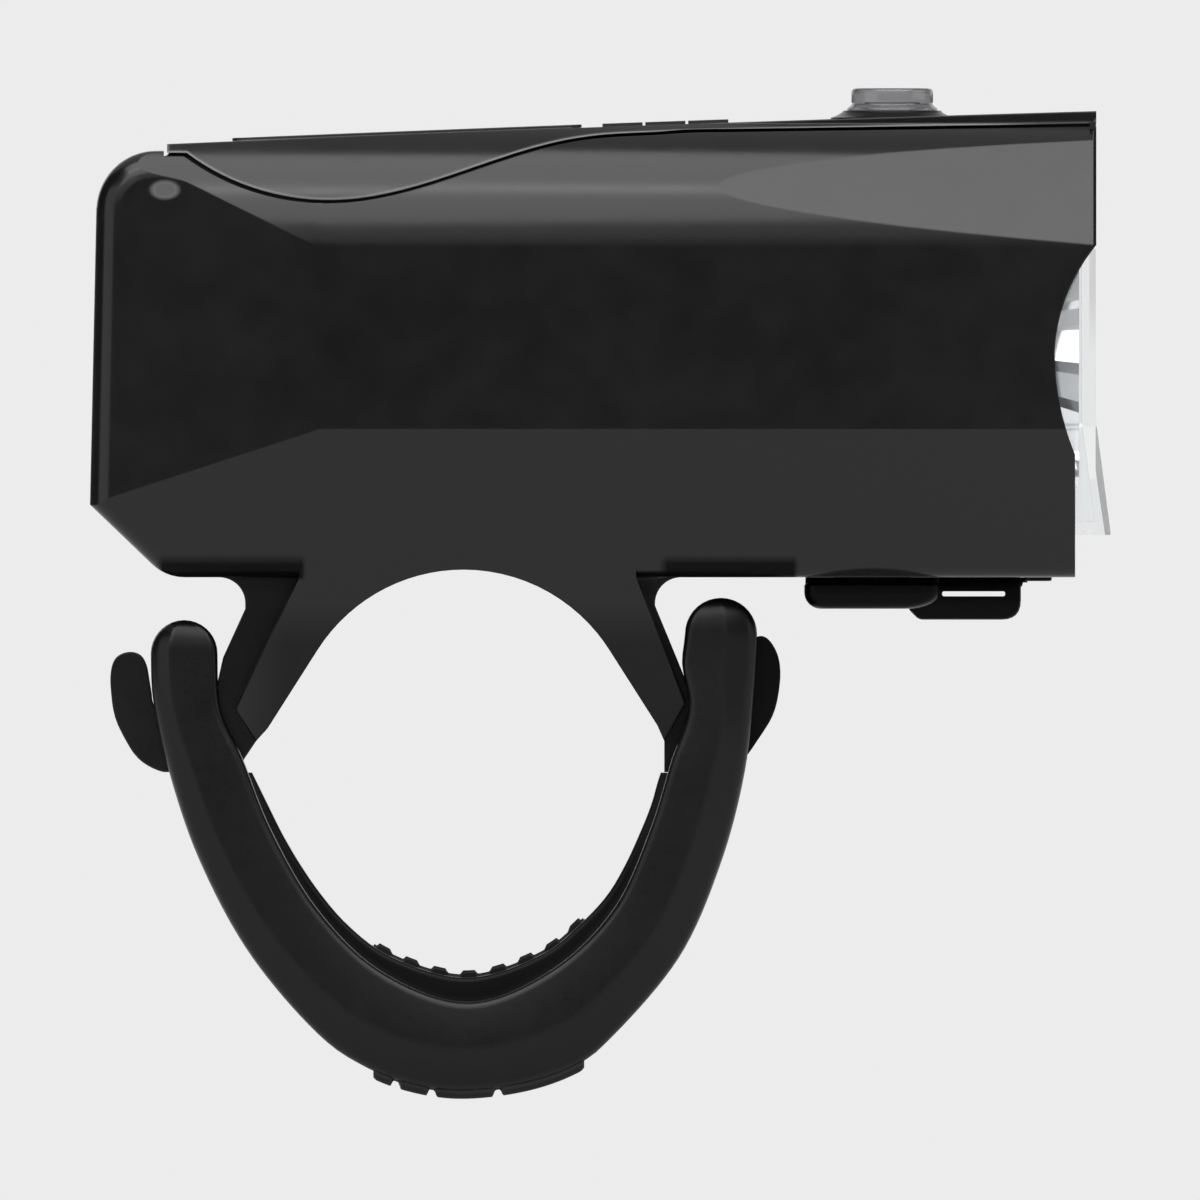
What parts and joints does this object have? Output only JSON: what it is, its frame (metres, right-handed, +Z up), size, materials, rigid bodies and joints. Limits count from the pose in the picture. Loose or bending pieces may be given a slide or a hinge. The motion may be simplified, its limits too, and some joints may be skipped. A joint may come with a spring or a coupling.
{
  "type": "bicycle headlight",
  "caption": "Compact bicycle headlight with a faceted body, a push button on top, a charging port cover and a stretchy strap that hooks round the handlebar.",
  "frame": {"origin": "on the axis of the handlebar that the saddle and the strap hold, midway across the body", "axes": "+X the way the beam goes, +Y along the handlebar towards the body's left side as seen by the rider, +Z up from the handlebar to the body"},
  "size_m": [0.094, 0.0392, 0.0932],
  "materials": {
    "housing_plastic": "fine satin texture",
    "cover_plastic": "fine satin texture",
    "seal_rubber": "dull",
    "window_plastic": "smoked and smooth",
    "smoked_plastic": "translucent and smooth",
    "soft_rubber": "dull",
    "pin_plastic": "smooth",
    "switch_black": "dull",
    "board_green": "solder mask",
    "board_white": "white solder mask on aluminium",
    "lamp_amber": "clear resin over the chip",
    "lamp_yellow": "clear resin over phosphor",
    "screw_steel": "plain",
    "socket_steel": "drawn",
    "nickel_strip": "rolled",
    "cell_wrap": "shrink wrap",
    "tray_plastic": "moulded",
    "chip_black": "dull",
    "sink_aluminium": "extruded",
    "lead_red": "wire jacket",
    "lead_black": "wire jacket",
    "cable_grey": "flat cable jacket",
    "bright_coating": "vacuum coated facets",
    "clear_plastic": "clear and polished",
    "flap_rubber": "dull",
    "strap_rubber": "dull"
  },
  "bodies": {
    "light": {"lower_housing": "housing_plastic", "top_cover": "cover_plastic", "cover_gasket": "seal_rubber", "level_window": "window_plastic", "button_boot": "soft_rubber", "tact_switch": "switch_black", "top_board": "board_green", "level_lamps": "lamp_amber", "top_board_screws": "screw_steel", "battery_cell": "cell_wrap", "battery_tabs": "nickel_strip", "battery_tray": "tray_plastic", "main_board": "board_green", "board_parts": "chip_black", "tray_screws": "screw_steel", "charge_socket": "socket_steel", "socket_core": "switch_black", "heat_sink": "sink_aluminium", "lamp_board": "board_white", "lamp_screws": "screw_steel", "lamp_chip": "lamp_yellow", "lamp_leads": "lead_red", "rear_lead": "lead_black", "flat_cable": "cable_grey", "reflector": "bright_coating", "bullet_lens": "clear_plastic", "front_lens": "clear_plastic", "lens_gasket": "seal_rubber", "port_cover_anchor": "flap_rubber", "strap_rear_loop": "strap_rubber", "strap_front_loop": "strap_rubber"},
    "button": {"power_button": "smoked_plastic", "switch_plunger": "pin_plastic"},
    "flap": {"port_cover": "flap_rubber"},
    "belly": {"strap_belly": "strap_rubber"}
  },
  "joints": [
    {"name": "button_press", "type": "slide", "parent": "light", "child": "button", "axis": [0, 0, -1], "range_m": [0, 0.0004], "stiffness_N_per_m": 2500, "springref_m": -0.0004},
    {"name": "port_cover_hinge", "type": "hinge", "parent": "light", "child": "flap", "pos_m": [0.05145, 0, 0.01485], "axis": [0, -1, 0], "range_deg": [0, 90], "stiffness_Nm_per_rad": 0.004, "springref_deg": -8.59},
    {"name": "strap_pull", "type": "slide", "parent": "light", "child": "belly", "axis": [0, 0, -1], "range_m": [0, 0.006], "stiffness_N_per_m": 1500, "springref_m": -0.0005, "deforming": ["strap_rear_loop", "strap_front_loop"]}
  ]
}
